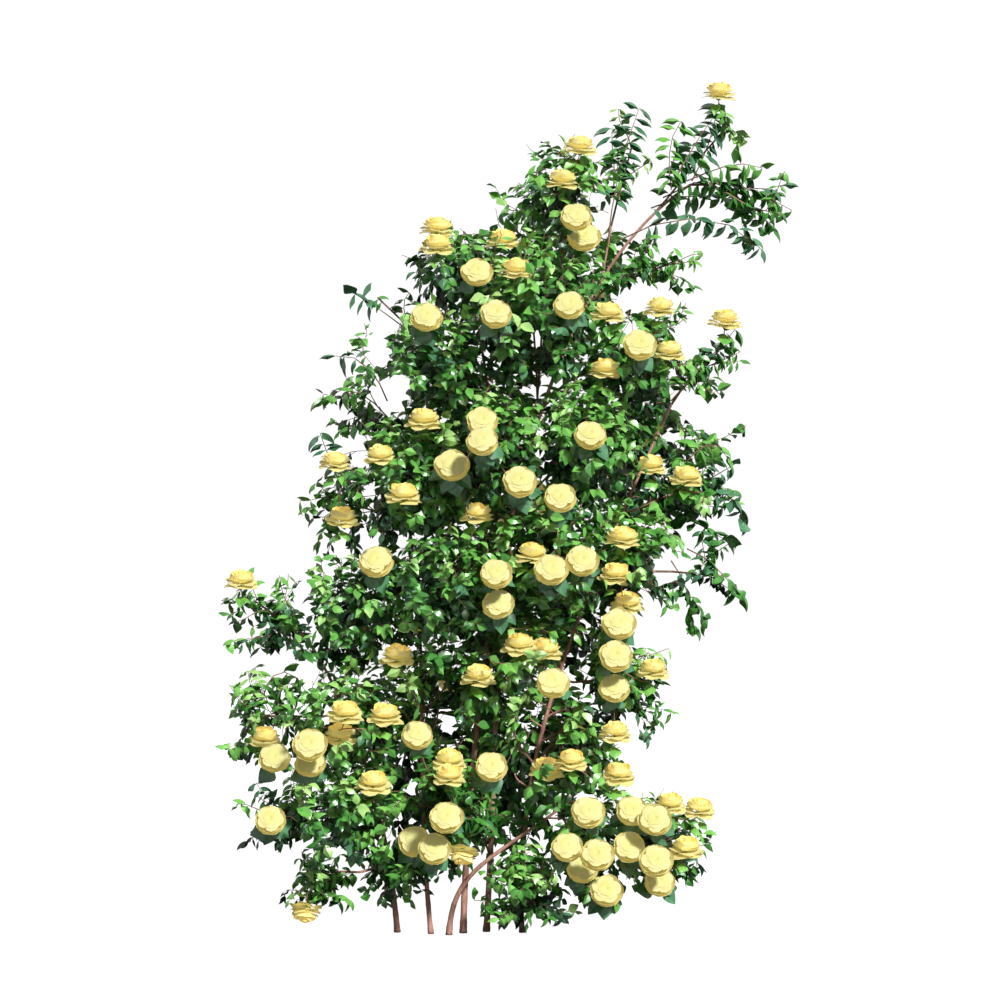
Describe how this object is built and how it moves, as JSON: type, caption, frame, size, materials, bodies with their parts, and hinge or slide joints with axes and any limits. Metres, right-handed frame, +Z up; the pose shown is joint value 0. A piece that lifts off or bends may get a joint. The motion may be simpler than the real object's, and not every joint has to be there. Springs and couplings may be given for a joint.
{
  "type": "yellow climbing rose bush",
  "caption": "Tall rose bush in flower that leans to one side: slim red-brown canes, arching sprays of small glossy leaves, and full pale-yellow double blooms; rooted in the ground.",
  "frame": {"origin": "centre of the flat cut at ground level under the leader cane", "axes": "+Z up along the canes; -Y is the front, which most of the blooms face; +X is the side that the top of the bush leans to"},
  "size_m": [1.4024, 0.9652, 2.1246],
  "materials": {
    "bark": "thin red-brown rose bark with pale grey-green patches and raised leaf nodes, matt",
    "foliage": "small glossy green rose leaves, darker and bluer under the blooms, with pale-yellow double blooms among them"
  },
  "bodies": {
    "root": {"cane_leader": "bark", "cane_high": "bark", "cane_right": "bark", "cane_left": "bark", "cane_low_left": "bark", "cane_low_right": "bark", "bough_high_right": "bark", "bough_upright": "bark", "bough_crown_top": "bark", "bough_arm_high_left": "bark", "bough_side_right": "bark", "bough_hanging_right": "bark", "bough_right_column": "bark", "bough_side_left": "bark", "bough_arm_left_lower": "bark", "bough_low_left_tip": "bark", "bough_hanging_left": "bark", "bough_back_right": "bark", "mass_arch_right": "foliage", "mass_high_right": "foliage", "mass_upright": "foliage", "mass_droop_right": "foliage", "mass_crown_top": "foliage", "mass_front_crown": "foliage", "mass_front_high_right": "foliage", "mass_front_right": "foliage", "mass_heart_right": "foliage", "mass_top_left": "foliage", "mass_arm_high_left": "foliage", "mass_front_high_left": "foliage", "mass_front_centre": "foliage", "mass_heart_left": "foliage", "mass_base_centre": "foliage", "mass_shoulder_right": "foliage", "mass_side_right": "foliage", "mass_hanging_right": "foliage", "mass_right_low": "foliage", "mass_right_column": "foliage", "mass_low_middle": "foliage", "mass_foot_right": "foliage", "mass_shoulder_left": "foliage", "mass_side_left": "foliage", "mass_front_left": "foliage", "mass_left_low": "foliage", "mass_low_centre": "foliage", "mass_arm_left_upper": "foliage", "mass_arm_left_lower": "foliage", "mass_low_left": "foliage", "mass_low_left_tip": "foliage", "mass_base_left": "foliage", "mass_hanging_left": "foliage", "mass_low_right_near": "foliage", "mass_low_right_far": "foliage", "mass_low_heart": "foliage", "mass_foot_left": "foliage", "mass_back_crown": "foliage", "mass_back_right": "foliage", "mass_back_left": "foliage", "mass_back_heart": "foliage", "mass_back_low": "foliage"}
  },
  "joints": []
}
